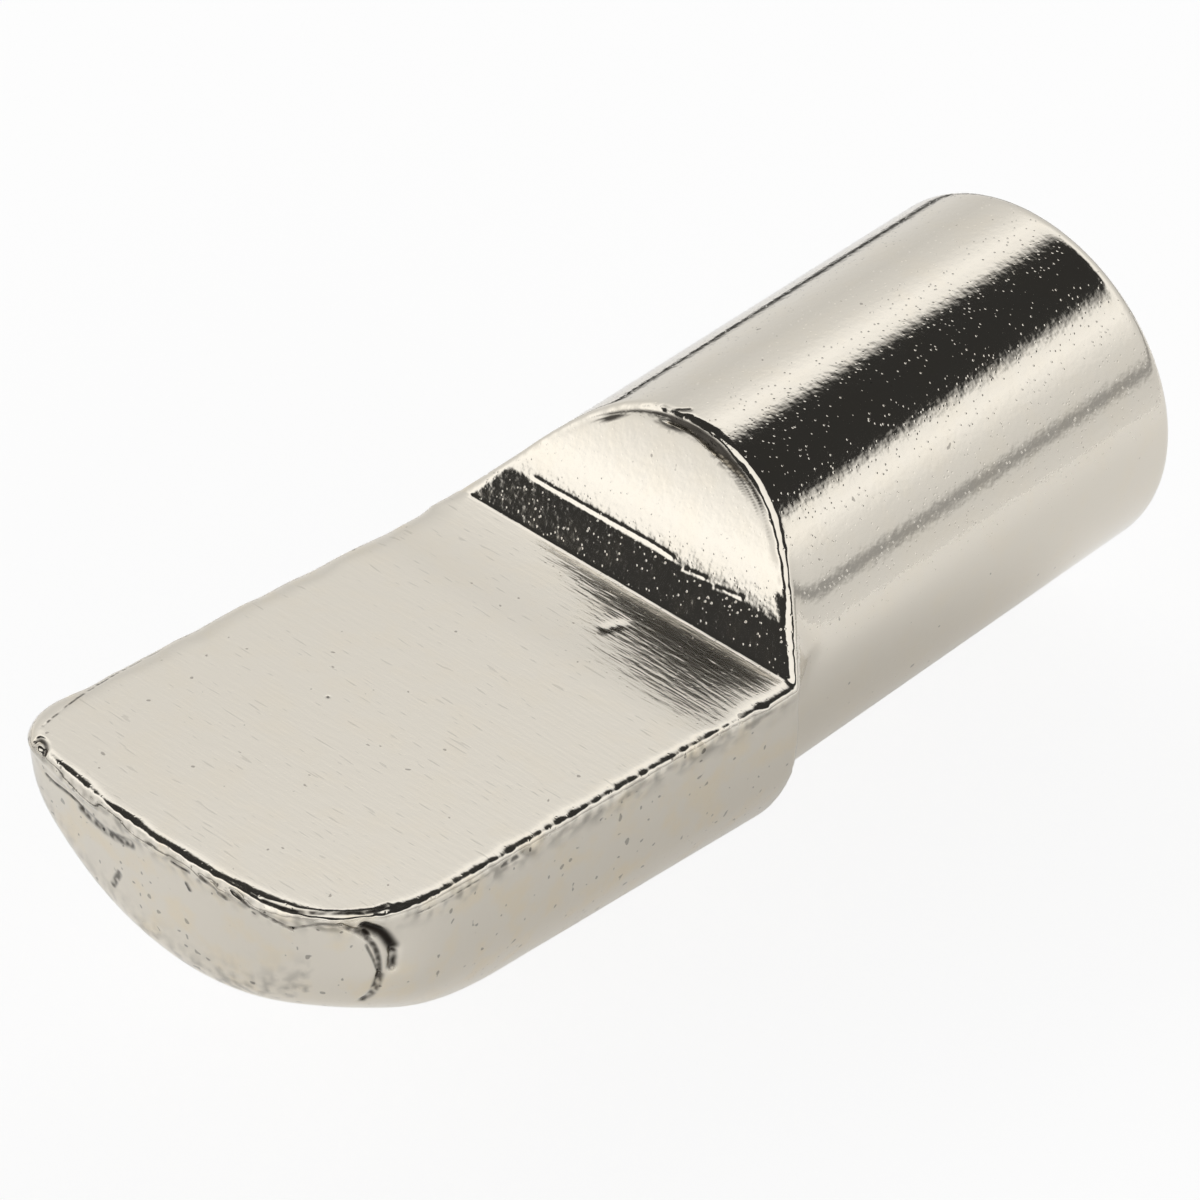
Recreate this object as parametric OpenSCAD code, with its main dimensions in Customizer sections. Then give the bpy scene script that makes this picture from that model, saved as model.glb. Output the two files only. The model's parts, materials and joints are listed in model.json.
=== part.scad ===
// Shelf support pin: a round plug for a drilled hole, pressed out at its other end into a flat seat.
// It is one forging. The plug's axis is Y, its free end points along +Y, and the seat faces up.
// The origin is on the plug's axis, at the shoulder where the blade swells out of the plug.

/* [Plug] */
// Diameter of the plug, which goes into a drilled hole of 6.35 mm
pin_d = 6.25; // [5:0.05:7]
// Length of the plug from the shoulder to its free end
pin_len = 9.05; // [6:0.05:14]
// Rounding of the free end's edge
pin_round = 0.25; // [0.1:0.05:1]

/* [Blade] */
// Length of the seat from its root line to the middle of the tip
seat_len = 9.7; // [7.5:0.1:14]
// Width of the blade between its side walls
seat_w = 7.2; // [6.8:0.1:9]
// How deep the side walls cut into the blade's round section
side_trim = 0.06; // [0.02:0.01:0.15]
// Height of the seat above the blade's own axis
seat_rise = 0.61; // [0.3:0.01:1.2]
// Angle by which the blade rises towards its tip
seat_tilt = 5.3; // [0:0.1:8]
// Distance from the shoulder to the seat's root line
root_back = 0.47; // [0.3:0.01:0.8]
// Height of the blade's axis above the plug's axis, at the root line
blade_lift = 0.28; // [0.1:0.01:0.35]
// Rounding of the shoulder
shoulder_round = 1.2; // [0.9:0.05:1.6]

/* [Cove] */
// Radius of the hollow wall between the seat and the top of the plug
cove_r = 4.33; // [3.8:0.01:6]
// Angle at which the wall leaves the seat
cove_angle = 43.5; // [35:0.5:55]

/* [Tip] */
// Thickness of the tip at its middle
tip_thick = 2.35; // [1.6:0.05:3]
// Radius of the bowed front edge, seen from above
tip_bow_r = 14.4; // [10:0.1:30]
// Angle by which the front face leans in towards its lower edge
tip_lean = 9.3; // [0:0.1:14]
// Radius of the tip's two corners, seen from above
corner_r = 1.6; // [0.8:0.05:2.2]
// Radius across the underside near the tip
crown_r = 5.4; // [4.6:0.1:8]
// Distance from the root line to where the underside starts to rise
rise_start = 1.95; // [1:0.05:3]

/* [Edges] */
// Bevel along the seat's edges
edge_bevel = 0.22; // [0.1:0.01:0.3]

/* [Hidden] */
$fn = 96;
nickel = [0.78, 0.76, 0.71];
pin_r = pin_d / 2;
side_x = seat_w / 2;
blade_r = side_x + side_trim;
// Half the width of the seat itself, at the top of the blade's round section
seat_x = min(side_x, sqrt(blade_r * blade_r - seat_rise * seat_rise));
// Room that every cut leaves around the blade
overrun = 2 * blade_r;
// How far the corner arcs reach past the side walls and the front, so that they cross them cleanly
corner_lap = 0.04;
// How far the rising underside starts below the blade's round section
rise_gap = 0.35;
cove_y = -cove_r * sin(cove_angle);
cove_z = seat_rise + cove_r * cos(cove_angle);
tip_y = -seat_len + tip_thick * tan(tip_lean);
rise_z = -blade_r - rise_gap;
rise_h = seat_rise - tip_thick - rise_z;
rise_run = -rise_start - tip_y;
rise_r = (rise_run * rise_run + rise_h * rise_h) / (2 * rise_h);
bow_y = tip_bow_r - seat_len;
corner_x = side_x - corner_r + corner_lap;
corner_y = bow_y - sqrt(pow(tip_bow_r - corner_r + corner_lap, 2) - corner_x * corner_x);

// A rod's half profile with a rounded upper corner, for turning about the axis
module rod_profile(radius, length, round) {
    difference() {
        square([radius, length]);
        translate([radius - round, length - round])
            difference() {
                square(2 * round);
                circle(round);
            }
    }
}

// A rod along Y that ends at Y = 0 plus its reach
module rod(radius, back, reach, round) {
    translate([0, -back, 0])
        rotate([-90, 0, 0])
            rotate_extrude() rod_profile(radius, back + reach, round);
}

// The plug, which starts inside the blade
module plug() {
    rod(pin_r, root_back, pin_len, pin_round);
}

// The rounded shoulder across the plug's axis, and all of the room in front of it
module shoulder() {
    rod(blade_r + blade_lift, 2 * shoulder_round, 0, shoulder_round);
    translate([-overrun, -shoulder_round - seat_len - overrun, -overrun])
        cube([2 * overrun, seat_len + overrun, 2 * overrun]);
}

// The blade's round section
module barrel() {
    translate([0, overrun, 0])
        rotate([90, 0, 0])
            cylinder(h = seat_len + 2 * overrun, r = blade_r);
}

// What is left of the blade between its side walls
module side_walls() {
    translate([-side_x, -seat_len - overrun, -overrun])
        cube([seat_w, seat_len + 2 * overrun, 2 * overrun]);
}

// The blade's back part, which keeps its round underside
module back_part() {
    translate([-overrun, -rise_start, -overrun])
        cube([2 * overrun, rise_start + overrun, 2 * overrun]);
}

// The underside that rises to the tip: a wide crown turned about a line across the blade
module rising_underside() {
    translate([0, -rise_start, rise_z + rise_r])
        rotate([0, 90, 0])
            rotate_extrude() {
                intersection() {
                    translate([rise_r - crown_r, 0]) circle(crown_r);
                    translate([rise_r - crown_r, -crown_r]) square(2 * crown_r);
                }
                translate([0, -seat_w]) square([rise_r - crown_r, 2 * seat_w]);
            }
}

// A post turned about an upright axis, with a bevel where its top meets the seat
module bevelled_post(radius, lean) {
    foot = radius - (seat_rise + overrun) * tan(lean);
    edge = radius - edge_bevel * tan(lean);
    rotate_extrude()
        polygon([
            [0, -overrun],
            [foot, -overrun],
            [edge, seat_rise - edge_bevel],
            [edge - 2 * edge_bevel, seat_rise + edge_bevel],
            [0, seat_rise + edge_bevel]
        ]);
}

// The bowed front face
module front_face() {
    translate([0, bow_y, 0]) bevelled_post(tip_bow_r, tip_lean);
}

// What is cut off at one corner of the tip
module corner_cut() {
    translate([corner_x, corner_y, 0])
        difference() {
            translate([0, -overrun, -overrun])
                cube([overrun, overrun, overrun + seat_rise + edge_bevel]);
            bevelled_post(corner_r, 0);
        }
}

// The slope along one side, which bevels the seat's edge and thins the shoulder above it
module side_bevel() {
    translate([seat_x - edge_bevel, -seat_len - overrun, seat_rise])
        rotate([0, -45, 0])
            translate([0, 0, -overrun])
                cube([overrun, seat_len + 2 * overrun, 2 * overrun]);
}

// All that is pressed away above the seat, with the hollow wall at the back
module seat_cut() {
    rotate([90, 0, -90])
        linear_extrude(2 * overrun, center = true) {
            intersection() {
                translate([-cove_y, cove_z]) circle(cove_r);
                translate([cove_y - cove_r, seat_rise]) square([2 * (cove_r - cove_y), cove_z + cove_r]);
            }
            translate([-cove_y, seat_rise]) square([seat_len + overrun, cove_z + cove_r]);
        }
}

// The blade in its own frame, with its axis along Y and its root line at Y = 0
module blade() {
    difference() {
        intersection() {
            barrel();
            side_walls();
            union() {
                back_part();
                intersection() {
                    rising_underside();
                    front_face();
                }
            }
        }
        for (side = [0, 1])
            mirror([side, 0, 0]) {
                corner_cut();
                side_bevel();
            }
    }
}

// Places what is drawn in the blade's own frame
module in_blade_frame() {
    translate([0, -root_back, blade_lift])
        rotate([-seat_tilt, 0, 0])
            children();
}

module support_pin() {
    color(nickel)
        difference() {
            union() {
                plug();
                intersection() {
                    in_blade_frame() blade();
                    shoulder();
                }
            }
            in_blade_frame() seat_cut();
        }
}

support_pin();
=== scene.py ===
"""A shelf support pin, forged from one bar and plated with nickel, on a pale studio floor."""

import json
import math
from collections import namedtuple

import bmesh
import bpy
import numpy as np
from bpy.props import FloatProperty, FloatVectorProperty, PointerProperty
from mathutils import Matrix, Vector, noise


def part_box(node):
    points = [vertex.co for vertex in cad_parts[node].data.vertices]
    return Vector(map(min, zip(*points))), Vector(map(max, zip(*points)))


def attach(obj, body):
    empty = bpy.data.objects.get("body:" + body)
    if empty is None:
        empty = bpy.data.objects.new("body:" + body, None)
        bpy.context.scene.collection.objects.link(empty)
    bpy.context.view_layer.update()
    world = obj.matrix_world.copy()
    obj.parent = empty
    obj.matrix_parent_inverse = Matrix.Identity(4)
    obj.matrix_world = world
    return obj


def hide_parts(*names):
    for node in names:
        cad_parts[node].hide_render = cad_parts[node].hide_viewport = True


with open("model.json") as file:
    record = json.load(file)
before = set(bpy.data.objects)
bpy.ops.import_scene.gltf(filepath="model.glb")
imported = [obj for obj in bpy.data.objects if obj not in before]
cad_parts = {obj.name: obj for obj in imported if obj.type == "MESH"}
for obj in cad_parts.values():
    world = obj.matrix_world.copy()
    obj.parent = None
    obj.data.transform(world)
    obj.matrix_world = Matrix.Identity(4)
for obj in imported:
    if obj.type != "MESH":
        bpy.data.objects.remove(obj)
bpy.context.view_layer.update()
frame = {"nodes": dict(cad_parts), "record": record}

bl_info = {
    "name": "Shelf support pin",
    "version": (1, 0, 0),
    "blender": (4, 5, 0),
    "location": "3D View > Sidebar > Support pin",
    "description": "Builds a nickel plated shelf support pin around its packed CAD part",
    "category": "Object",
}

MM = 0.001
NODE = "support_pin"
NODE_LOW, NODE_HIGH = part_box(NODE)
MOUNTS = {mount["name"]: mount for mount in frame["record"]["mounts"]}
SEAT_AXIS = Vector(MOUNTS["seat"]["axis"])
SEAT_TILT = math.degrees(math.atan2(SEAT_AXIS.y, SEAT_AXIS.z))
# Room for the burr between the blade's sides and the CAD part's
BURR_ROOM = 0.035 * MM


def length(name, description, default):
    """A size in metres that shows in the scene's own unit."""
    return FloatProperty(name=name, description=description, default=default, unit="LENGTH", precision=5)


def share(name, description, default):
    """A plain number."""
    return FloatProperty(name=name, description=description, default=default, precision=3)


def angle(name, description, degrees):
    """An angle, given here in degrees."""
    return FloatProperty(name=name, description=description, default=math.radians(degrees), subtype="ANGLE")


def vector(name, description, default, subtype):
    """Three numbers of one kind: a linear colour, a point in metres or a direction."""
    return FloatVectorProperty(name=name, description=description, default=default, size=3, subtype=subtype)


class PinSizes(bpy.types.PropertyGroup):
    """Sizes of the pin's plain surfaces, close to the CAD part's, and of its worn edges."""

    plug_radius: length("Plug radius", "Radius of the round plug", MOUNTS["plug"]["dims"]["r_mm"] * MM)
    plug_end: length("Plug end", "Distance from the origin to the plug's free end", NODE_HIGH.y)
    plug_roll: length("Plug roll", "How wide the free end's edge rolls over", 0.30 * MM)
    half_width: length("Half width", "Half the blade's width, inside its burr", NODE_HIGH.x - BURR_ROOM)
    side_trim: length("Side trim", "How deep the side walls cut into the round section", 0.09 * MM)
    seat_tilt: angle("Seat tilt", "Angle by which the blade rises towards its tip", SEAT_TILT)
    seat_length: length("Seat length", "Length from the root line to the middle of the tip", 9.665 * MM)
    seat_rise: length("Seat rise", "Height of the seat above the blade's own axis", 0.61 * MM)
    root_back: length("Root back", "Distance from the shoulder to the root line", 0.47 * MM)
    blade_lift: length("Blade lift", "Height of the blade's axis at the root", 0.28 * MM)
    shoulder_round: length("Shoulder round", "Rounding of the shoulder", 1.2 * MM)
    cove_radius: length("Cove radius", "Radius of the hollow wall behind the seat", 7.6 * MM)
    cove_angle: angle("Cove angle", "Angle at which the wall leaves the seat", 48.5)
    cove_back: length("Cove back", "Distance from the root line to the wall's foot", 0.007 * MM)
    tip_thickness: length("Tip thickness", "Thickness of the tip at its middle", 2.35 * MM)
    tip_bow: length("Tip bow", "Radius of the bowed front edge, seen from above", 14.4 * MM)
    tip_lean: angle("Tip lean", "Angle by which the front face leans in below", 9.3)
    crown_radius: length("Crown radius", "Radius across the underside near the tip", 5.4 * MM)
    rise_start: length("Rise start", "Distance from the root to where the underside rises", 1.95 * MM)
    rise_gap: length("Rise gap", "How far below the round section the rise starts", 0.35 * MM)
    left_corner: length("Left corner", "Rounding of the tip's left corner", 0.8 * MM)
    right_corner: length("Right corner", "Rounding of the tip's right corner", 1.9 * MM)
    edge_bevel: length("Edge bevel", "Bevel along the seat's long edges", 0.04 * MM)
    edge_roll: length("Edge roll", "How wide the seat's right edge rolls over", 0.16 * MM)
    left_roll: length("Left roll", "How wide the seat's left edge rolls over", 0.30 * MM)
    rim_roll: length("Rim roll", "How wide the rim above the wall rolls over", 0.18 * MM)
    front_roll: length("Front roll", "How wide the seat's front edge rolls over", 0.13 * MM)
    rim_round: length("Rim round", "How wide the bar's own edges round above the seat", 0.5 * MM)
    droop_width: length("Droop width", "Width of the seat's droop along its front edge", 0.28 * MM)
    side_droop: length("Side droop", "Width of the seat's droop along its sides", 0.08 * MM)
    droop_radius: length("Droop radius", "Radius at which it droops", 0.68 * MM)
    droop_right: share("Droop right", "Share by which the front droop is wider at the right", 1.2)
    ramp_rise: length("Ramp rise", "Height of the flat ramp at the foot of the hollow wall", 0.53 * MM)
    dish_radius: length("Dish radius", "Radius of the shallow hollow before the root", 13.3 * MM)
    dish_depth: length("Dish depth", "Depth of that hollow", 0.03 * MM)
    dish_middle: length("Dish middle", "Distance from the root to the hollow's deepest line", 1.05 * MM)
    dish_blend: length("Dish blend", "How wide the hollow's front edge is blended", 0.02 * MM)
    root_strip: length("Root strip", "Width of the steeper strip along the root", 0.055 * MM)
    strip_slope: share("Strip slope", "Slope of that strip", 0.195)
    collar_fillet: length("Collar fillet", "Fillet where the plug widens to the seat", 0.9 * MM)
    collar_height: length("Collar height", "Height at which that fillet is full", 0.8 * MM)
    root_fillet: length("Root fillet", "Fillet along the root line", 0.02 * MM)
    mesh_step: length("Mesh step", "Size of the mesh's squares away from the edges", 0.15 * MM)
    fine_band: length("Fine band", "Width of the finer mesh beside each edge", 0.22 * MM)


class PinWear(bpy.types.PropertyGroup):
    """Burrs, dents and creases that pressing and handling left on the pin."""

    roll_change: share("Roll change", "Share by which an edge's roll changes along it", 0.3)
    roll_size: length("Roll size", "Length of the roll's changes", 0.6 * MM)
    burr: length("Burr", "Height of the fine burr below the seat's edges", 0.004 * MM)
    burr_grain: length("Burr grain", "Length of the burr's teeth", 0.16 * MM)
    burr_drop: length("Burr drop", "How far below the seat the burr reaches", 0.18 * MM)
    lip: length("Lip", "How far the lip below the front edge stands proud", 0.033 * MM)
    lip_drop: length("Lip drop", "Depth of the lip below the seat", 0.21 * MM)
    lip_width: length("Lip width", "Half the width of the lip", 0.045 * MM)
    wave: length("Wave", "Height of the slow waves in the blade's sides", 0.004 * MM)
    wave_size: length("Wave size", "Length of those waves", 1.1 * MM)
    land_angle: angle("Land angle", "How steep the land below the rim is", 91.0)
    land_width: length("Land width", "Width of the land where it is narrow", 0.14 * MM)
    land_most: length("Land most", "Width of the land where it is widest", 0.28 * MM)
    land_fade: length("Land fade", "Length over which the land sets in", 0.02 * MM)
    land_middle: length("Land middle", "How far right of the middle the land is widest", 0.3 * MM)
    land_spread: length("Land spread", "Half the width of the stretch where it widens", 1.6 * MM)
    land_streak: length("Land streak", "Height of the streaks along the land", 0.003 * MM)
    # Painted shade: dark streaks along the land below the rim that stand in for its dark second reflection;
    # how dark they are, and over what length they fade
    land_shade: share("Stain", "How dark the stain along the land is", 0.93)
    land_shade_fade: length("Stain fade", "Length over which the stain fades", 0.07 * MM)
    darkening: share("Dirt", "How much soil clings below the seat's edges", 0.45)
    dirt_drop: length("Dirt drop", "How far below the seat most of it is", 0.20 * MM)
    dirt_width: length("Dirt width", "Half the width of the soiled band", 0.16 * MM)
    dirt_size: length("Dirt size", "Length of its patches", 0.14 * MM)


# A mark in the skin: its path, half its width and its depth in millimetres, how much soil and painted shade
# it holds and how broken they are. A depth below nought stands proud.
Mark = namedtuple("Mark", "path half_width depth soil broken")
MARKS = (
    # Fold round the tip's right corner, dark with soil and painted shade in the fold
    Mark(((3.20, -9.05, 1.45), (3.32, -8.82, 1.28), (3.37, -8.68, 0.95)), 0.10, 0.06, 1.0, 0.0),
    Mark(((3.37, -8.68, 0.83), (3.36, -8.70, 0.60)), 0.08, 0.05, 1.0, 0.3),
    # Finer fold beside it, with a pit at its top and a split, dark with soil and painted shade in them
    Mark(((3.19, -9.05, 1.33), (3.21, -9.02, 1.28)), 0.07, 0.03, 1.0, 0.0),
    Mark(((3.19, -9.03, 1.10), (3.24, -8.94, 0.80), (3.26, -8.90, 0.60)), 0.025, 0.015, 0.8, 0.2),
    Mark(
        ((3.00, -9.32, 1.53), (3.18, -9.07, 1.34), (3.28, -8.88, 0.95), (3.27, -8.86, 0.45)),
        0.045, 0.03, 0.9, 0.3,
    ),
    Mark(((3.27, -8.86, 0.45), (3.16, -8.92, 0.05), (3.00, -8.96, -0.12)), 0.07, 0.03, 0.9, 0.5),
    # Edge of the flap that leads to it along the front, dark with soil and painted shade under the edge
    Mark(((1.72, -9.93, 1.57), (2.00, -9.87, 1.48), (2.40, -9.72, 1.38)), 0.035, 0.015, 0.8, 0.4),
    Mark(((2.40, -9.72, 1.38), (2.75, -9.53, 1.58), (3.00, -9.32, 1.54)), 0.03, 0.012, 0.7, 0.2),
    # Split below the left end of the front edge, dark with soil and painted shade in the split
    Mark(
        (
            (-2.65, -9.76, 1.30), (-2.47, -9.80, 1.28), (-2.17, -9.85, 1.33),
            (-1.88, -9.89, 1.35), (-1.73, -9.90, 1.28),
        ),
        0.035, 0.02, 0.95, 0.15,
    ),
    # Second line below the middle of the front edge, in three pieces
    Mark(((0.29, -10.02, 1.55), (0.46, -10.02, 1.54), (0.64, -10.01, 1.56)), 0.03, 0.01, 0.95, 0.2),
    Mark(((0.87, -10.00, 1.60), (1.04, -9.99, 1.57), (1.16, -9.98, 1.53)), 0.035, 0.01, 0.95, 0.2),
    Mark(((1.43, -9.96, 1.67), (1.64, -9.94, 1.60), (1.76, -9.92, 1.53)), 0.03, 0.01, 0.9, 0.2),
    # Dark line along the front edge's right end
    Mark(
        (
            (1.95, -9.84, 1.74), (2.50, -9.67, 1.70), (3.00, -9.17, 1.69),
            (3.21, -8.89, 1.66), (3.23, -8.63, 1.65),
        ),
        0.035, 0.004, 0.95, 0.35,
    ),
    # Bruises on the front face
    Mark(
        ((-1.75, -9.90, 1.27), (-1.25, -9.95, 1.21), (-0.92, -9.98, 1.25), (-0.60, -10.00, 1.34)),
        0.09, 0.012, 0.9, 0.4,
    ),
    Mark(((-1.18, -9.88, 0.15), (-0.98, -9.92, 0.51)), 0.06, 0.010, 0.8, 0.35),
    # Beads of burr on the front face
    Mark(((0.56, -10.00, 1.29), (0.61, -9.99, 1.20)), 0.04, -0.02, 0.9, 0.3),
    Mark(((1.22, -9.97, 1.50), (1.33, -9.96, 1.48)), 0.06, -0.03, 0.85, 0.3),
    # Curl of burr at the tip's left corner, and the bead in it; the curl is dark with soil and painted
    # shade
    Mark(
        (
            (-3.00, -9.67, 1.70), (-2.94, -9.58, 1.74), (-2.79, -9.60, 1.74),
            (-2.67, -9.69, 1.75), (-2.66, -9.78, 1.68),
        ),
        0.035, 0.03, 0.95, 0.1,
    ),
    Mark(((-2.82, -9.72, 1.70), (-2.77, -9.75, 1.67)), 0.06, -0.04, 0.0, 0.0),
    # Dark bits along the seat's left edge
    Mark(
        ((-3.46, -2.2, 1.06), (-3.46, -5.2, 1.33), (-3.42, -8.1, 1.60), (-3.10, -9.4, 1.72)),
        0.018, 0.004, 0.9, 1.0,
    ),
    # Second line under the seat's right edge, and a blot in it
    Mark(((3.50, -8.3, 1.42), (3.56, -7.4, 1.36), (3.57, -6.7, 1.31)), 0.018, 0.008, 0.85, 0.8),
    Mark(((3.56, -6.65, 1.30), (3.57, -6.16, 1.27)), 0.05, 0.015, 0.8, 0.6),
    # Ridge along the top of the ramp
    Mark(
        ((-2.35, 0.11, 1.41), (-1.10, 0.11, 1.42), (0.20, 0.13, 1.44), (0.55, 0.11, 1.42)),
        0.035, -0.004, 0.0, 0.0,
    ),
    Mark(((0.84, 0.06, 1.37), (1.23, 0.09, 1.40)), 0.035, -0.004, 0.0, 0.0),
    Mark(((1.47, 0.06, 1.37), (1.97, 0.10, 1.42)), 0.035, -0.003, 0.0, 0.0),
    # Dent, pit and scratches in the seat
    Mark(((0.60, -1.40, 0.97), (0.68, -1.18, 0.95)), 0.11, 0.008, 0.0, 0.0),
    Mark(((-0.88, -5.78, 1.385), (-0.87, -5.78, 1.385)), 0.025, 0.010, 0.9, 0.0),
    Mark(((1.36, -0.77, 0.93), (2.32, -0.88, 0.92)), 0.014, 0.002, 0.0, 0.0),
    Mark(((1.87, -0.59, 0.93), (2.96, -0.68, 0.92)), 0.014, 0.002, 0.0, 0.0),
    Mark(((-2.92, -0.74, 0.93), (-2.28, -0.72, 0.93)), 0.016, 0.002, 0.0, 0.0),
    # Nick in the rim
    Mark(((-0.70, 1.22, 3.05), (-0.43, 1.20, 3.09), (-0.25, 1.34, 3.11)), 0.045, 0.015, 0.9, 0.2),
    # Dark jagged line round the plug's free end
    Mark(
        ((-0.9, 8.93, 2.95), (0.0, 8.93, 3.08), (1.2, 8.93, 2.84), (2.2, 8.93, 2.16)),
        0.02, 0.006, 0.8, 0.9,
    ),
    Mark(
        ((2.2, 8.93, 2.16), (2.85, 8.93, 1.20), (3.08, 8.93, 0.20), (3.00, 8.93, -0.7)),
        0.02, 0.006, 0.8, 0.9,
    ),
)

# Width in millimetres of the painted shade along the land below the rim, dark streaks that stand in for its
# dark second reflection, by distance right of the middle
LAND_SHADE_PLACES = (-2.1, -1.8, -1.5, -1.2, -0.8, 0.1, 0.8, 1.5, 2.2)
LAND_SHADE_WIDTHS = (0.0, 0.14, 0.22, 0.18, 0.18, 0.32, 0.32, 0.22, 0.0)


class PlateLooks(bpy.types.PropertyGroup):
    """The nickel plate's colours and finish."""

    nickel: vector("Nickel", "Colour of clean nickel plate", (0.80, 0.75, 0.66), "COLOR")
    tarnish: vector("Tarnish", "Colour of the slightly yellower patches", (0.82, 0.74, 0.60), "COLOR")
    # Colour of the soil and specks, also used for the painted shade in folds and along the land
    soil: vector("Soil", "Colour of the soil in marks and specks", (0.018, 0.014, 0.011), "COLOR")
    polish: share("Polish", "Roughness of the bright plate", 0.06)
    brushed: share("Brushed", "Roughness added on the pressed seat", 0.05)


class StudioLooks(bpy.types.PropertyGroup):
    """The camera, the floor and the light."""

    aim: vector("Aim", "Point looked at", (-1.167 * MM, 0.331 * MM, -0.475 * MM), "TRANSLATION")
    distance: length("Distance", "Distance from the camera to its aim", 92.87 * MM)
    azimuth: angle("Azimuth", "Camera's turn about the upright axis", 43.486)
    elevation: angle("Elevation", "Camera's height above the horizon", 38.454)
    lens: share("Lens", "Focal length in millimetres, on a frame 36 mm wide", 180.0)
    floor_size: length("Floor size", "Radius of the floor", 26 * MM)
    floor: vector("Floor", "Colour of the pale floor", (0.97, 0.97, 0.97), "COLOR")
    floor_glow: share("Floor glow", "Share of white in what the camera sees", 0.88)
    mirror_glow: share("Mirror glow", "Share of white in what the metal shows", 0.04)
    overhead: vector("Overhead", "Direction of the soft box", (0.147, -0.231, 0.962), "DIRECTION")


def rolled(first, second, roll):
    """The larger of two distances, blended over roll: an edge that is rolled over."""
    blend = np.maximum(roll - np.abs(first - second), 0) / roll
    return np.maximum(first, second) + blend * blend * roll / 4


def filleted(first, second, fillet):
    """The smaller of two distances, blended over fillet: an inner corner."""
    return -rolled(-first, -second, fillet)


def bell(gap, width, power=2):
    """One at no gap, falling to nought beyond a width, faster with a higher power."""
    return np.exp(-((gap / width) ** power))


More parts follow.
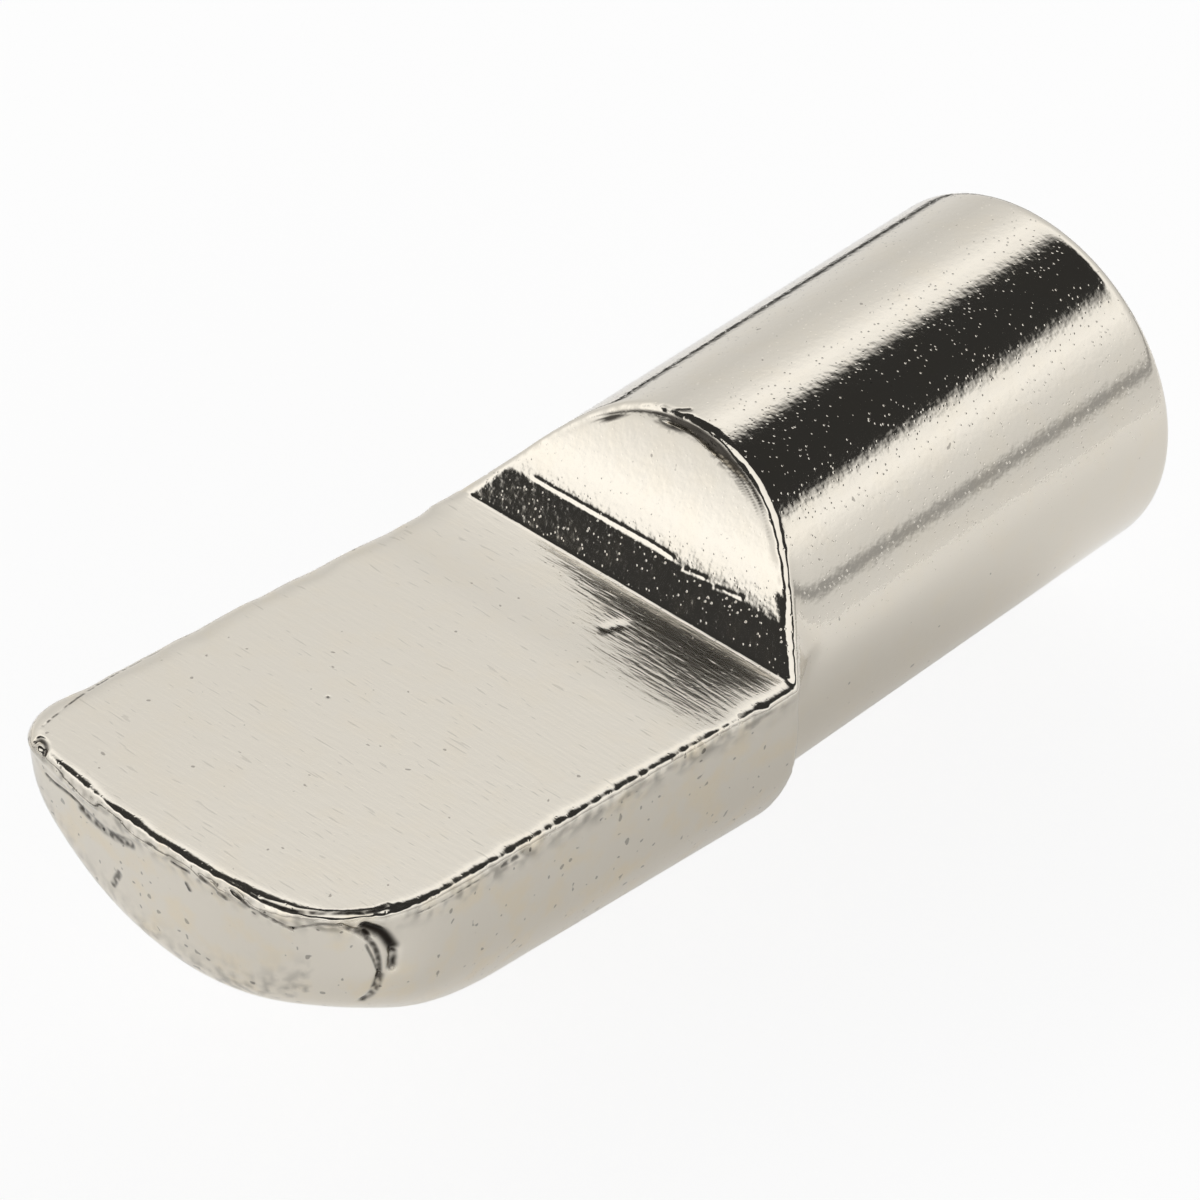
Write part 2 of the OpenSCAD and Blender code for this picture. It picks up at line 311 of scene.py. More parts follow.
class PinForm:
    """Distances from the pin's surfaces, below nought in the metal and above it outside."""

    # Steps to the root's fillet when a slope is measured
    FINE_STEPS = 50
    # Least squared slope that a move towards the surface is measured by
    LEAST_SLOPE = 0.05

    def __init__(self, sizes):
        self.sizes = sizes
        self.blade_radius = sizes.half_width + sizes.side_trim
        self.cove_y = sizes.cove_back - sizes.cove_radius * math.sin(sizes.cove_angle)
        self.cove_z = sizes.seat_rise + sizes.cove_radius * math.cos(sizes.cove_angle)
        tip_y = -sizes.seat_length + sizes.tip_thickness * math.tan(sizes.tip_lean)
        rise_z = -self.blade_radius - sizes.rise_gap
        height = sizes.seat_rise - sizes.tip_thickness - rise_z
        run = -sizes.rise_start - tip_y
        self.rise_radius = (run * run + height * height) / (2 * height)
        self.rise_z = rise_z + self.rise_radius

    def in_blade(self, points):
        """Points in the blade's own frame, whose root line is at y = 0."""
        sizes = self.sizes
        y = points[:, 1] + sizes.root_back
        z = points[:, 2] - sizes.blade_lift
        cosine, sine = math.cos(sizes.seat_tilt), math.sin(sizes.seat_tilt)
        return points[:, 0], y * cosine - z * sine, y * sine + z * cosine

    def plug(self, points):
        """The plug's round side and its flat free end."""
        side = np.hypot(points[:, 0], points[:, 2]) - self.sizes.plug_radius
        return side, points[:, 1] - self.sizes.plug_end

    def tip(self, x, y, z):
        """The underside that rises to the tip, and the bowed front face."""
        sizes = self.sizes
        core = self.rise_radius - sizes.crown_radius
        reach = np.hypot(np.minimum(y + sizes.rise_start, 0), z - self.rise_z)
        underside = np.hypot(np.maximum(reach - core, 0), x) - sizes.crown_radius
        bow = sizes.tip_bow - (sizes.seat_rise - z) * math.tan(sizes.tip_lean)
        front = np.hypot(x, y - sizes.tip_bow + sizes.seat_length) - bow
        return underside, front * math.cos(sizes.tip_lean)

    def blade(self, points):
        """The blade between its shoulder, side walls and tip, before the seat is pressed."""
        sizes = self.sizes
        x, y, z = self.in_blade(points)
        underside, front = self.tip(x, y, z)
        sides = np.abs(x) - sizes.half_width
        corner = np.where(x < 0, sizes.left_corner, sizes.right_corner)
        slope = (np.abs(x) - sizes.half_width + sizes.edge_bevel + z - sizes.seat_rise) / math.sqrt(2)
        barrel = np.hypot(x, z) - self.blade_radius
        body = rolled(barrel, rolled(front, sides, corner), sizes.edge_roll)
        above = np.clip((z - sizes.seat_rise) / sizes.rim_round, 0, 1)
        body = rolled(body, slope, sizes.edge_bevel + (sizes.rim_round - sizes.edge_bevel) * above)
        body = rolled(body, underside, 2 * sizes.edge_roll)
        return rolled(body, self.shoulder(points), sizes.edge_bevel)

    def shoulder(self, points):
        """The rounded shoulder across the plug's axis."""
        sizes = self.sizes
        radius = np.hypot(points[:, 0], points[:, 2]) - self.blade_radius - sizes.blade_lift
        out = np.maximum(radius + sizes.shoulder_round, 0)
        back = np.maximum(points[:, 1] + sizes.shoulder_round, 0)
        near = np.hypot(out, back) - sizes.shoulder_round
        return np.where(points[:, 1] > -sizes.shoulder_round, near, -sizes.shoulder_round)

    def bar(self, points):
        """The plug and the blade as one bar."""
        sizes = self.sizes
        side, end = self.plug(points)
        plug = np.maximum(rolled(side, end, sizes.plug_roll), -points[:, 1] - sizes.root_back)
        height = np.clip(points[:, 2] / sizes.collar_height, 0, 1)
        fillet = sizes.edge_bevel + (sizes.collar_fillet - sizes.edge_bevel) * height
        return filleted(plug, self.blade(points), fillet)

    def seat(self, y, z):
        """The pressed seat, with a shallow hollow before its root and a steeper strip along it."""
        sizes = self.sizes
        before = np.minimum(y, -sizes.root_strip) + sizes.dish_middle
        hollow = before * before / (2 * sizes.dish_radius) - sizes.dish_depth
        height = np.where(before < 0, filleted(hollow, 0 * hollow, sizes.dish_blend), hollow)
        return z - sizes.seat_rise - height - sizes.strip_slope * np.maximum(y + sizes.root_strip, 0)

    def wall(self, y, z):
        """The hollow wall behind the seat, with a flat ramp at its foot."""
        sizes = self.sizes
        hollow = sizes.cove_radius - np.hypot(np.maximum(y - self.cove_y, 0), z - self.cove_z)
        rise = sizes.ramp_rise
        below = self.cove_z - sizes.seat_rise - rise
        run = math.sqrt(sizes.cove_radius ** 2 - below ** 2) + self.cove_y
        ramp = ((z - sizes.seat_rise) * run - y * rise) / math.hypot(run, rise)
        return np.minimum(hollow, ramp)

    def pressed(self, points):
        """What is left below the seat and behind its hollow wall."""
        _, y, z = self.in_blade(points)
        return filleted(self.seat(y, z), self.wall(y, z), self.sizes.root_fillet)

    def surface(self, points, roll, worn, lean, marked):
        """The whole pin: the bar and the pressed part, rolled over between them, and its marks."""
        return rolled(self.bar(points) + worn, self.pressed(points) - lean, roll) + marked

    def rim_gap(self, points):
        """How far a point of the surface is from the edge of the pressed part, about."""
        return np.abs(self.bar(points) - self.pressed(points))

    def root_gap(self, points):
        """How far a point of the surface is from the root line, about."""
        _, y, z = self.in_blade(points)
        return np.maximum(np.abs(self.seat(y, z)), np.abs(self.wall(y, z)))

    def outer_gap(self, points):
        """How far a point is from the edges of the plug's end and of the front face, about."""
        side, end = self.plug(points)
        underside, front = self.tip(*self.in_blade(points))
        return np.minimum(np.abs(side - end), np.abs(underside - front) / 2)

    def slope(self, points, *skin):
        """The surface function's slope, by small steps to both sides."""
        step = self.sizes.root_fillet / self.FINE_STEPS
        slopes = []
        for axis in np.eye(3):
            ahead = self.surface(points + axis * step, *skin)
            behind = self.surface(points - axis * step, *skin)
            slopes.append((ahead - behind) / (2 * step))
        return np.column_stack(slopes)

    def settle(self, points, *skin, rounds=6):
        """Points drawn onto the surface, a short way at a time."""
        limit = self.sizes.mesh_step / 2
        for _ in range(rounds):
            slope = self.slope(points, *skin)
            steep = np.maximum(np.sum(slope * slope, axis=1), self.LEAST_SLOPE)
            move = np.clip(self.surface(points, *skin) / steep, -limit, limit)
            points = points - slope * move[:, None]
        return points


# Share of each stretch of a path that one round of smoothing cuts off at its ends
CORNER_CUT = 0.25


def smooth_path(path, rounds=3):
    """A path in metres from one in millimetres, with its corners cut again and again."""
    corners = np.array(path) * MM
    for _ in range(rounds):
        early = (1 - CORNER_CUT) * corners[:-1] + CORNER_CUT * corners[1:]
        late = CORNER_CUT * corners[:-1] + (1 - CORNER_CUT) * corners[1:]
        inner = np.stack((early, late), axis=1).reshape(-1, 3)[1:-1]
        corners = np.vstack((corners[:1], inner, corners[-1:]))
    return corners


def path_gap(points, path):
    """How far each point is from a path that is given in millimetres."""
    corners = smooth_path(path)
    gap = np.full(len(points), np.inf)
    for start, end in zip(corners, corners[1:]):
        along = end - start
        portion = np.clip((points - start) @ along / (along @ along), 0, 1)
        gap = np.minimum(gap, np.linalg.norm(points - start - portion[:, None] * along, axis=1))
    return gap


# Where in the noise each kind of unevenness starts
SEEDS = {
    "roll": 1.3, "lip": 2.9, "darkening": 3.3, "fine roll": 4.1, "waves": 5.3,
    "land": 6.1, "teeth": 7.7, "droop": 8.3, "breaks": 9.1,
}


def ripple(points, size, kind):
    """Smooth noise between about -1 and 1, with bumps of the given size."""
    seed = SEEDS[kind]
    offset = Vector((seed, 2 * seed, 3 * seed))
    return np.array([noise.noise(Vector(point) / size + offset) for point in points])


class PinSkin:
    """The rolled edges and the worn places of the pin's skin, point by point."""

    # How far the front face reaches back, in depths of the lip
    FRONT_REACH = 3
    # Share of the fine change in an edge's roll, and how much of it the left edge lacks
    FINE_SHARE = 0.5
    LEFT_EVEN = 0.8
    # Limits of an edge's roll, as shares of its plain roll
    ROLL_LIMITS = (0.5, 1.8)
    # Height of the burr's teeth away from the front, and mean height of the lip, as shares
    TEETH_ASIDE = 0.5
    LIP_MEAN = 0.5
    # Share by which the droop's width changes along the edges
    DROOP_CHANGE = 0.3
    # Most that the land turns away from the wall, in radians
    LAND_TURN = 0.7
    # How much finer the streaks are across the land than along it, in its shape and its painted shade
    LAND_FINE = 10
    LAND_SHADE_FINE = 16
    # How far the streaks change the land's width, and the painted shade
    LAND_RAGGED = 0.6
    LAND_SHADE_RAGGED = 2.4
    # Mean and contrast of the dirt's patches
    DIRT_MEAN = 0.3
    DIRT_CONTRAST = 1.6
    # Breaks in the marks' soil and painted shade: mean, contrast, and size in lengths of the burr's teeth
    BREAK_MEAN = -0.5
    BREAK_CONTRAST = 2.5
    BREAK_SIZE = 0.6
    # How sharply the soil and painted shade end beside a mark
    SOIL_POWER = 4
    # How much wider the fine mesh is along the rim of the wall
    RIM_BAND = 2.5

    def __init__(self, form, wear):
        self.form = form
        self.wear = wear

    def near_front(self, points):
        """One at the front face, falling to nought a short way behind it."""
        front = self.form.tip(*self.form.in_blade(points))[1]
        return np.clip(1 + front / (self.FRONT_REACH * self.wear.lip_drop), 0, 1)

    def roll(self, points):
        """How wide the edge of the pressed part rolls over near each point."""
        sizes = self.form.sizes
        x, y, _ = self.form.in_blade(points)
        left = np.clip(-x / sizes.plug_radius, 0, 1)
        plain = sizes.edge_roll + (sizes.left_roll - sizes.edge_roll) * left
        plain += (sizes.front_roll - plain) * self.near_front(points)
        plain += (sizes.rim_roll - plain) * np.clip(y / sizes.root_back, 0, 1)
        fine = ripple(points, self.wear.burr_grain, "fine roll") * (1 - self.LEFT_EVEN * left)
        change = ripple(points, self.wear.roll_size, "roll") + fine * self.FINE_SHARE
        return plain * np.clip(1 + self.wear.roll_change * change, *self.ROLL_LIMITS)

    def drop(self, points):
        """How far each point is below the seat."""
        _, y, z = self.form.in_blade(points)
        return -self.form.seat(y, z)

    def worn(self, points):
        """How far the bar's skin is worn down, or where below nought raised, at each point."""
        wear = self.wear
        drop = self.drop(points)
        on_blade = np.clip(-points[:, 1] / wear.wave_size, 0, 1)
        front = self.near_front(points)
        beside = bell(drop, wear.burr_drop) * on_blade
        teeth = ripple(points, wear.burr_grain, "teeth") * wear.burr * beside * (self.TEETH_ASIDE + front)
        rise = np.clip(self.LIP_MEAN + ripple(points, wear.roll_size, "lip"), 0, 1)
        lip = wear.lip * bell(drop - wear.lip_drop, wear.lip_width) * front * rise
        waves = ripple(points, wear.wave_size, "waves") * wear.wave * on_blade
        return teeth - lip + waves

    def lean(self, points):
        """How far the pressed part stands proud: the land below the wall's rim, less the seat's droop."""
        wear, sizes = self.wear, self.form.sizes
        inside = np.maximum(-self.form.bar(points), 0)
        x, y, z = self.form.in_blade(points)
        front = self.near_front(points)
        width = sizes.side_droop + (sizes.droop_width - sizes.side_droop) * front
        right = 1 + sizes.droop_right * np.clip(x / sizes.half_width, 0, 1) * front
        width = width * right * (1 + self.DROOP_CHANGE * ripple(points, wear.roll_size, "droop"))
        droop = np.maximum(width - inside, 0) ** 2 / (2 * sizes.droop_radius * (2 * right - 1))
        on_wall = np.clip((y - sizes.root_back) / sizes.root_back, 0, 1)
        return self.land(x, z, inside) * on_wall - droop * np.clip(-y / sizes.droop_width, 0, 1)

    def land(self, x, z, inside):
        """How far the steep land below the rim stands proud of the hollow wall."""
        wear, form = self.wear, self.form
        below = np.clip((form.cove_z - z) / form.sizes.cove_radius, 0, 1)
        steep = np.arccos(below) - form.sizes.seat_tilt
        slope = np.tan(np.clip(wear.land_angle - steep, 0, self.LAND_TURN))
        aside = np.clip(1 - np.abs(x - wear.land_middle) / wear.land_spread, 0, 1)
        streaks = ripple(np.column_stack((x, z, self.LAND_FINE * inside)), wear.roll_size, "land")
        widening = (wear.land_most - wear.land_width) * aside * (1 + self.LAND_RAGGED * streaks)
        width = wear.land_width + widening
        rise = slope * wear.land_fade * np.logaddexp(0, (width - inside) / wear.land_fade)
        return rise + wear.land_streak * streaks * np.clip((width - inside) / wear.land_width, 0, 1)

    def land_shade(self, points):
        """Painted shade along the land: how dark its painted streaks are, standing in for the dark second
        reflection there, starting halfway across the rim's roll.
        """
        wear, sizes = self.wear, self.form.sizes
        inside = -self.form.bar(points)
        x, y, z = self.form.in_blade(points)
        streaks = ripple(np.column_stack((x, z, self.LAND_SHADE_FINE * inside)), wear.roll_size, "land")
        width = np.interp(x / MM, LAND_SHADE_PLACES, LAND_SHADE_WIDTHS) * MM
        inner = np.clip((width - inside) / wear.land_shade_fade + self.LAND_SHADE_RAGGED * streaks, 0, 1)
        outer = np.clip((inside - sizes.rim_roll / 2) / (sizes.rim_roll / 8), 0, 1)
        return wear.land_shade * inner * outer * (y > sizes.root_back)

    def marked(self, points):
        """How far the marks go into the skin at each point."""
        depth = np.zeros(len(points))
        for mark in MARKS:
            depth += mark.depth * MM * bell(path_gap(points, mark.path), mark.half_width * MM)
        return depth

    def soil(self, points):
        """How much soil and painted shade is at each point, from nought to one: bands of dirt, painted
        shade along the land, and the marks' soil and painted shade.
        """
        wear = self.wear
        drop = self.drop(points)
        band = bell(drop - wear.dirt_drop, wear.dirt_width) * (drop > wear.dirt_drop / 4)
        band = band * np.clip(-points[:, 1] / wear.wave_size, 0, 1)
        underside, front = self.form.tip(*self.form.in_blade(points))
        foot = bell(underside - front, 2 * wear.dirt_width)
        band = np.maximum(band, foot * (front > -wear.dirt_width) * (drop > wear.dirt_drop))
        patches = self.DIRT_MEAN + self.DIRT_CONTRAST * ripple(points, wear.dirt_size, "darkening")
        soil = wear.darkening * band * np.clip(patches, 0, 1)
        # Painted shade along the land
        soil = np.maximum(soil, self.land_shade(points))
        breaks = ripple(points, wear.burr_grain * self.BREAK_SIZE, "breaks")
        uneven = self.BREAK_CONTRAST * breaks + self.BREAK_MEAN
        # The marks' soil, and the painted shade in the folds, splits, flap edge and curl
        for mark in MARKS:
            near = bell(path_gap(points, mark.path), mark.half_width * MM, self.SOIL_POWER)
            soil = np.maximum(soil, mark.soil * near * np.clip(1 + mark.broken * uneven, 0, 1))
        return np.minimum(soil, 1)

    def mark_gap(self, points):
        """How far each point is from the nearest mark."""
        gaps = [path_gap(points, mark.path) - mark.half_width * MM for mark in MARKS]
        return np.minimum.reduce(gaps)

    def broad_gap(self, points):
        """How far each point is from everything that needs a finer mesh."""
        return np.minimum(self.fine_gap(points), self.form.outer_gap(points))

    def fine_gap(self, points):
        """How far each point is from the edges and marks that need a fine mesh."""
        wear = self.wear
        drop = self.drop(points)
        lip = np.maximum(np.abs(drop - wear.lip_drop / 2) - wear.lip_drop / 2, 0)
        lip = np.where((self.near_front(points) > 0) & (drop > wear.lip / 2), lip, np.inf)
        rim = self.form.rim_gap(points)
        rim = np.where(points[:, 1] > 0, rim / self.RIM_BAND, rim)
        return np.minimum.reduce((rim, self.form.root_gap(points), self.mark_gap(points), lip))

    def sharp_gap(self, points):
        """How far each point is from the lines that need the finest mesh."""
        root = self.form.root_gap(points) - self.form.sizes.root_strip / 2
        return np.minimum.reduce((self.form.rim_gap(points), root, self.mark_gap(points)))


def vertex_points(bm):
    """The places of a bmesh's vertices as an array."""
    bm.verts.ensure_lookup_table()
    return np.array([vert.co for vert in bm.verts])


def place_vertices(bm, points):
    """Moves a bmesh's vertices to the places in an array."""
    for vert, point in zip(bm.verts, points):
        vert.co = point


def remeshed(node, step):
    """A copy of a CAD node as one even mesh of small squares."""
    bm = bmesh.new()
    bm.from_mesh(node.data)
    bmesh.ops.remove_doubles(bm, verts=bm.verts, dist=step / 1000)
    mesh = bpy.data.meshes.new("plated_pin_blank")
    bm.to_mesh(mesh)
    bm.free()
    blank = link(bpy.data.objects.new("plated_pin_blank", mesh))
    remesh = blank.modifiers.new("Even mesh", "REMESH")
    remesh.mode = "VOXEL"
    remesh.voxel_size = step
    graph = bpy.context.evaluated_depsgraph_get()
    fine = bmesh.new()
    fine.from_object(blank, graph)
    bpy.data.objects.remove(blank)
    bpy.data.meshes.remove(mesh)
    return fine


def refine(bm, near):
    """Splits the squares at the near vertices in four."""
    bm.verts.index_update()
    faces = [face for face in bm.faces if any(near[vert.index] for vert in face.verts)]
    edges = dict.fromkeys(edge for face in faces for edge in face.edges)
    bmesh.ops.subdivide_edges(bm, edges=list(edges), cuts=1, use_grid_fill=True)


def ease(bm):
    """Evens out the spacing of the vertices."""
    bmesh.ops.smooth_vert(bm, verts=bm.verts, factor=0.5, use_axis_x=True, use_axis_y=True, use_axis_z=True)


def add_attribute(mesh, name, values):
    """Gives each vertex of a mesh a value that the material can read."""
    mesh.attributes.new(name, "FLOAT", "POINT").data.foreach_set("value", values.astype(np.float32))


def link(piece):
    """Puts a new object in the scene."""
    bpy.context.scene.collection.objects.link(piece)
    return piece


class Wire:
    """A value socket that takes part in sums: each operator adds one Math node."""

    def __init__(self, graph, socket):
        self.graph = graph
        self.socket = socket

    def math(self, operation, *values):
        """A Math node on this wire and other values."""
        inputs = dict(enumerate((self, *values)))
        return self.graph.add("ShaderNodeMath", {"operation": operation}, inputs)

    def reflected(self, operation, value):
        """A Math node with this wire as its second value."""
        return self.graph.add("ShaderNodeMath", {"operation": operation}, {0: value, 1: self})

    def __add__(self, other):
        return self.math("ADD", other)

    __radd__ = __add__

    def __mul__(self, other):
        return self.math("MULTIPLY", other)

    def __sub__(self, other):
        return self.math("SUBTRACT", other)

    def __rsub__(self, other):
        return self.reflected("SUBTRACT", other)


class Graph:
    """A node tree that is filled by one method."""

    def __init__(self, tree):
        self.tree = tree
        tree.nodes.clear()

    def add(self, kind, settings=None, inputs=None, output=0):
        """Adds a node: its settings first, then its sockets; returns one of its outputs."""
        node = self.tree.nodes.new(kind)
        for name, value in (settings or {}).items():
            if name == "stops":
                self.set_stops(node.color_ramp, value)
            else:
                setattr(node, name, value)
        for key, value in (inputs or {}).items():
            if isinstance(value, Wire):
                self.tree.links.new(value.socket, node.inputs[key])
            else:
                node.inputs[key].default_value = value
        return Wire(self, node.outputs[output]) if node.outputs else node

    def set_stops(self, ramp, stops):
        """Sets a ramp's stops from pairs of place and grey level."""
        while len(ramp.elements) > 1:
            ramp.elements.remove(ramp.elements[0])
        for index, (position, level) in enumerate(stops):
            element = ramp.elements[0] if index == 0 else ramp.elements.new(position)
            element.position = position
            element.color = (level, level, level, 1)

    def noise(self, vector, scale, detail):
        """A noise texture's value, from 0 to 1."""
        inputs = {"Vector": vector, "Scale": scale, "Detail": detail}
        return self.add("ShaderNodeTexNoise", inputs=inputs)

    def ray(self, kind):
        """One for rays of the given kind, and nought for all others."""
        return self.add("ShaderNodeLightPath", output=f"Is {kind} Ray")

    def between(self, value, low, high):
        """A value brought from the range low to high into 0 to 1, with soft ends."""
        settings = {"interpolation_type": "SMOOTHSTEP"}
        inputs = {"Value": value, "From Min": low, "From Max": high}
        return self.add("ShaderNodeMapRange", settings, inputs)

    def mixed(self, factor, first, second):
        """Two colours mixed by a value."""
        settings = {"data_type": "RGBA"}
        return self.add("ShaderNodeMix", settings, {0: factor, 6: first, 7: second}, 2)


def new_material(name):
    """A material and the graph of its nodes."""
    material = bpy.data.materials.new(name)
    material.use_nodes = True
    return material, Graph(material.node_tree)


# How fine the plate's textures are, in waves to the metre
PEEL_SCALE = 8500.0
GRAIN_SCALE = 26000.0
STREAK_SCALE = 16000.0
DASH_SCALE = 20000.0
CLOUD_SCALE = 1600.0
PIT_SCALE = 11000.0
SPECK_SCALE = 8000.0
# The streaks and dashes are drawn out along the seat's width
STREAK_STRETCH = (0.15, 1, 1)
# Heights of the peel, grain and streaks, and depth of the pits, in micrometres
PEEL_HEIGHT = 2.6
GRAIN_HEIGHT = 0.4
STREAK_HEIGHT = 2.2
PIT_DEPTH = 2.9
MICROMETRE = 1.0e-6
# Share of the peel and grain that the pressed seat lacks
SEAT_FLAT = 0.8
# Ranges over which the dashes, clouds, pits and specks set in
DASH_RANGE = (0.74, 0.80)
CLOUD_RANGE = (0.45, 0.70)
PIT_RANGE = (0.06, 0.26)
PIT_SHARE = (0.05, 0.70)
SPECK_RANGE = (0.84, 0.88)
# How much more easily specks set in on the sides
SIDE_SPECKS = 0.07
# How dark specks and dashes are
SPECK_DARK = 0.45
DASH_DARK = 0.13
# Share of tarnish in the clouds, and what the sides add to it
PLAIN_TARNISH = 0.2
SIDE_TARNISH = 0.8
# Roughness that clouds on the sides and the darkening add, on soil and painted shade alike
CLOUD_ROUGH = 0.06
DARKENING_ROUGH = 0.2


def nickel_plate(looks):
    """Bright nickel plate: orange peel, pits, streaks on the seat, clouded sides, and marks darkened with
    soil and painted shade.
    """
    material, graph = new_material("nickel_plate")
    spot = graph.add("ShaderNodeTexCoord", output="Object")
    seat, side, soil, pitted = (
        graph.add("ShaderNodeAttribute", {"attribute_name": name}, output="Fac")
        for name in ("seat_face", "side_face", "soil", "pitted")
    )
    drawn_out = graph.add("ShaderNodeMapping", inputs={"Vector": spot, "Scale": STREAK_STRETCH})
    peel = graph.noise(spot, PEEL_SCALE, 1.0)
    grain = graph.noise(spot, GRAIN_SCALE, 1.0)
    streaks = graph.noise(drawn_out, STREAK_SCALE, 1.0)
    dashes = graph.between(graph.noise(drawn_out, DASH_SCALE, 0.0), *DASH_RANGE)
    clouds = graph.between(graph.noise(spot, CLOUD_SCALE, 3.0), *CLOUD_RANGE)
    cells = {"Vector": spot, "Scale": PIT_SCALE}
    cell_middle = graph.add("ShaderNodeTexVoronoi", inputs=cells, output="Position")
    cell_share = graph.add("ShaderNodeTexWhiteNoise", inputs={"Vector": cell_middle})
    off_middle = graph.add("ShaderNodeTexVoronoi", inputs=cells)
    pits = (1 - graph.between(off_middle, *PIT_RANGE)) * graph.between(cell_share, *PIT_SHARE)
    specks = graph.between(graph.noise(spot, SPECK_SCALE, 0.0) + side * SIDE_SPECKS, *SPECK_RANGE)
    # Darkening: specks, dashes on the seat, and the soil and painted shade of the marks and the land
    darkening = (soil + specks * SPECK_DARK + dashes * seat * DASH_DARK).math("MINIMUM", 1)
    tarnished = clouds * (PLAIN_TARNISH + side * SIDE_TARNISH)
    base = graph.mixed(tarnished, (*looks.nickel, 1), (*looks.tarnish, 1))
    base = graph.mixed(darkening, base, (*looks.soil, 1))
    rough = looks.polish + clouds * side * CLOUD_ROUGH + seat * looks.brushed + darkening * DARKENING_ROUGH
    skin = (peel * PEEL_HEIGHT + grain * GRAIN_HEIGHT) * (1 - seat * SEAT_FLAT)
    height = skin + streaks * seat * STREAK_HEIGHT - pits * PIT_DEPTH * pitted
    relief = {"Strength": 1.0, "Distance": MICROMETRE, "Height": height}
    bump = graph.add("ShaderNodeBump", inputs=relief)
    inputs = {"Base Color": base, "Metallic": 1.0, "Roughness": rough, "Normal": bump}
    shader = graph.add("ShaderNodeBsdfPrincipled", inputs=inputs)
    graph.add("ShaderNodeOutputMaterial", inputs={"Surface": shader})
    return material


def floor_paint(looks):
    """Plain pale floor that keeps the shadow and reads as white."""
    material, graph = new_material("floor_paint")
    matt = graph.add("ShaderNodeBsdfDiffuse", inputs={"Color": (*looks.floor, 1)})
    glow = graph.add("ShaderNodeEmission", inputs={"Strength": 1.0})
    seen = graph.ray("Camera") + graph.ray("Transmission")
    white = seen * looks.floor_glow + graph.ray("Glossy") * looks.mirror_glow
    shader = graph.add("ShaderNodeMixShader", inputs={0: white, 1: matt, 2: glow})
    graph.add("ShaderNodeOutputMaterial", inputs={"Surface": shader})
    return material


# Brightness of the studio by angle from the middle of the soft box overhead, in degrees
STUDIO_LEVELS = (
    (0, 1.10), (28, 1.10), (32, 0.035), (54.3, 0.035), (57.5, 1.10), (62, 1.20),
    (67, 1.03), (72, 0.88), (78, 0.82), (86, 0.76), (96, 0.80), (104, 0.86),
)
# How far towards the back the dark gap starts to reach further out, and how fast
GAP_BACK = 0.59
GAP_REACH = 0.60
# The front of the studio is a little brighter than its back
FRONT_LIGHT = (0.0, -0.1, 0.0)
# How much more light falls on the floor than a mirror shows
FLOOR_FILL = 2.7
# The floor is lit by the walls alone: towards the box the light fades over this range of cosines
BOX_FADE = (0.75, 0.85)
# The grey seam between the floor and the walls, which leans down to the left
SEAM_AXIS = (-0.2, 0.0, 1.0)
SEAM_DROP = 0.07
SEAM_WIDTH = 0.11
SEAM_DEPTH = 0.50
# How much darker the seam is to the left
SEAM_LEFT = 0.6


def studio_light(looks):
    """A soft box overhead, a dark gap round it, and bright panels on pale walls."""
    world = bpy.data.worlds.new("studio_light")
    bpy.context.scene.world = world
    world.use_nodes = True
    graph = Graph(world.node_tree)
    direction = graph.add("ShaderNodeTexCoord", output="Generated")

    def along(axis):
        """How far the looked-at direction points along an axis."""
        settings = {"operation": "DOT_PRODUCT"}
        return graph.add("ShaderNodeVectorMath", settings, {0: direction, 1: axis}, "Value")

    to_box = along(Vector(looks.overhead).normalized())
    reach = (along((0, 1, 0)) - GAP_BACK).math("MAXIMUM", 0) * GAP_REACH
    stops = [((1 + math.cos(math.radians(degrees))) / 2, level) for degrees, level in STUDIO_LEVELS]
    position = (to_box + reach) * 0.5 + 0.5
    level = graph.add("ShaderNodeValToRGB", {"stops": sorted(stops)}, {"Fac": position})
    off_seam = (along(SEAM_AXIS) + SEAM_DROP).math("ABSOLUTE")
    seam = 1 - graph.between(off_seam, 0, SEAM_WIDTH)
    dark = along((-SEAM_LEFT, 0, 0)).math("MAXIMUM", 0) + SEAM_DEPTH
    studio = level * (1 + along(FRONT_LIGHT)) * (1 - seam * dark.math("MINIMUM", 1))
    walls = 1 - graph.between(to_box, *BOX_FADE)
    mirror = graph.ray("Glossy")
    seen = graph.ray("Camera") + graph.ray("Transmission")
    strength = seen + mirror * studio + (1 - seen - mirror) * studio * walls * FLOOR_FILL
    inputs = {"Color": (1, 1, 1, 1), "Strength": strength}
    background = graph.add("ShaderNodeBackground", inputs=inputs)
    graph.add("ShaderNodeOutputWorld", inputs={"Surface": background})


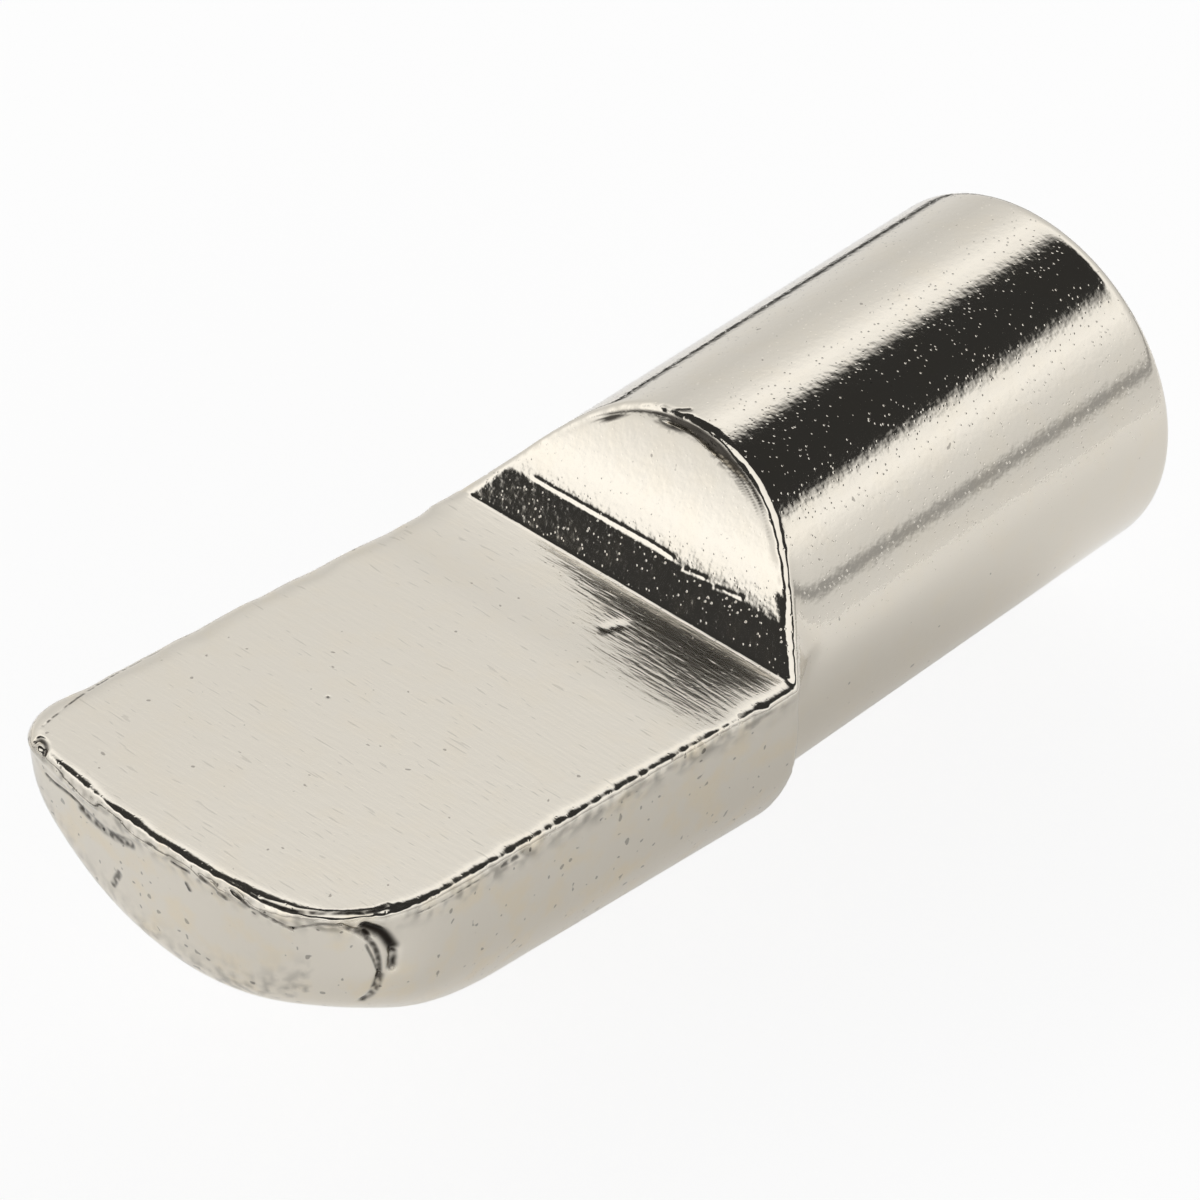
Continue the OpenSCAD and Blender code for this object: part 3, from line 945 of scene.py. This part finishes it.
class SUPPORTPIN_OT_pin(bpy.types.Operator):
    """Makes the plated pin from the CAD part, with rolled and worn edges"""

    bl_idname = "supportpin.pin"
    bl_label = "Plated pin"

    # How near the seat and the wall a point counts as on them
    SEAT_NEAR = 0.05 * MM
    WALL_NEAR = 0.02 * MM
    # Length over which the blade's sides set in
    SIDE_FADE = 0.5 * MM
    # Pits at the ramp's foot, what they gain up to its top, and pits on the wall above it
    RAMP_PITS = 0.5
    RAMP_GAIN = 2.2
    WALL_PITS = 0.3
    # Share of the pits that the seat lacks
    SEAT_CLEAN = 0.8

    def execute(self, context):
        form = PinForm(context.scene.pin_sizes)
        skin = PinSkin(form, context.scene.pin_wear)
        bm, points = self.fine_mesh(form, skin)
        soil = skin.soil(points)
        worn = (skin.roll(points), skin.worn(points), skin.lean(points), skin.marked(points))
        points = form.settle(points, *worn)
        place_vertices(bm, points)
        for face in bm.faces:
            face.smooth = True
        mesh = bpy.data.meshes.new("plated_pin")
        bm.to_mesh(mesh)
        bm.free()
        self.add_attributes(mesh, form, points, soil)
        mesh.materials.append(nickel_plate(context.scene.plate_looks))
        pin = link(bpy.data.objects.new("plated_pin", mesh))
        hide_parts(NODE)
        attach(pin, "root")
        return {"FINISHED"}

    def fine_mesh(self, form, skin):
        """The CAD part's mesh, finer near edges and marks, and where its vertices are without wear."""
        sizes = form.sizes
        plain = (sizes.edge_roll, 0.0, 0.0, 0.0)
        bm = remeshed(frame["nodes"][NODE], sizes.mesh_step)
        place_vertices(bm, form.settle(vertex_points(bm), *plain))
        bands = (
            (skin.broad_gap, sizes.fine_band),
            (skin.fine_gap, sizes.fine_band / 2),
            (skin.sharp_gap, sizes.fine_band / 4),
        )
        for gap, band in bands:
            refine(bm, gap(vertex_points(bm)) < band)
            ease(bm)
            place_vertices(bm, form.settle(vertex_points(bm), *plain))
        ease(bm)
        return bm, form.settle(vertex_points(bm), *plain)

    def add_attributes(self, mesh, form, points, soil):
        """Tells the material where the seat, the sides, the soil and painted shade, and the pits are."""
        _, y, z = form.in_blade(points)
        on_seat = np.clip(1 - np.abs(form.seat(y, z)) / self.SEAT_NEAR, 0, 1) * (y < 0)
        on_side = (1 - on_seat) * np.clip(-points[:, 1] / self.SIDE_FADE, 0, 1)
        up_ramp = (z - form.sizes.seat_rise) / form.sizes.ramp_rise
        on_wall = np.abs(form.wall(y, z)) < self.WALL_NEAR
        wall_pits = np.where(up_ramp < 1, self.RAMP_PITS + self.RAMP_GAIN * up_ramp, self.WALL_PITS)
        pitted = np.where(on_wall, wall_pits, 1 - self.SEAT_CLEAN * on_seat)
        add_attribute(mesh, "seat_face", on_seat)
        add_attribute(mesh, "side_face", on_side)
        add_attribute(mesh, "soil", soil)
        add_attribute(mesh, "pitted", pitted)


class SUPPORTPIN_OT_stage(bpy.types.Operator):
    """Makes the floor, the light and the camera"""

    bl_idname = "supportpin.stage"
    bl_label = "Stage"

    def execute(self, context):
        looks = context.scene.studio_looks
        bm = bmesh.new()
        bmesh.ops.create_circle(bm, cap_ends=True, radius=looks.floor_size, segments=128)
        bmesh.ops.translate(bm, verts=bm.verts, vec=(0, 0, NODE_LOW.z))
        mesh = bpy.data.meshes.new("floor")
        bm.to_mesh(mesh)
        bm.free()
        mesh.materials.append(floor_paint(looks))
        floor = link(bpy.data.objects.new("floor", mesh))
        studio_light(looks)
        context.scene.view_settings.view_transform = "Standard"
        self.add_camera(context.scene, looks)
        return {"FINISHED"}

    def add_camera(self, scene, looks):
        """A camera at the photograph's angle, level and without shift."""
        data = bpy.data.cameras.new("camera")
        data.lens = looks.lens
        data.sensor_width = 36.0
        camera = link(bpy.data.objects.new("camera", data))
        level = math.cos(looks.elevation)
        back = Vector((
            level * math.sin(looks.azimuth),
            -level * math.cos(looks.azimuth),
            math.sin(looks.elevation),
        ))
        turn = back.to_track_quat("Z", "Y").to_matrix().to_4x4()
        camera.matrix_world = Matrix.Translation(Vector(looks.aim) + back * looks.distance) @ turn
        data.clip_start = looks.distance / 100
        data.clip_end = looks.distance * 10
        scene.camera = camera


class SUPPORTPIN_PT_panel(bpy.types.Panel):
    """Sizes, colours and buttons for the pin"""

    bl_idname = "SUPPORTPIN_PT_panel"
    bl_label = "Support pin"
    bl_space_type = "VIEW_3D"
    bl_region_type = "UI"
    bl_category = "Support pin"

    def draw(self, context):
        for operator in OPERATORS:
            self.layout.operator(operator.bl_idname)
        for name in GROUPS:
            group = getattr(context.scene, name)
            self.layout.label(text=name.replace("_", " "))
            for prop in group.bl_rna.properties:
                if prop.identifier not in {"rna_type", "name"}:
                    self.layout.prop(group, prop.identifier)


GROUPS = {
    "pin_sizes": PinSizes,
    "pin_wear": PinWear,
    "plate_looks": PlateLooks,
    "studio_looks": StudioLooks,
}
OPERATORS = (SUPPORTPIN_OT_pin, SUPPORTPIN_OT_stage)
CLASSES = (*GROUPS.values(), *OPERATORS, SUPPORTPIN_PT_panel)


def register():
    """Adds the classes and the scene's settings."""
    for cls in CLASSES:
        bpy.utils.register_class(cls)
    for name, group in GROUPS.items():
        setattr(bpy.types.Scene, name, PointerProperty(type=group))


def unregister():
    """Takes the settings and the classes away again."""
    for name in GROUPS:
        delattr(bpy.types.Scene, name)
    for cls in reversed(CLASSES):
        bpy.utils.unregister_class(cls)


def main():
    """Builds the pin and its stage."""
    register()
    bpy.ops.supportpin.pin()
    bpy.ops.supportpin.stage()


if __name__ == "__main__":
    main()
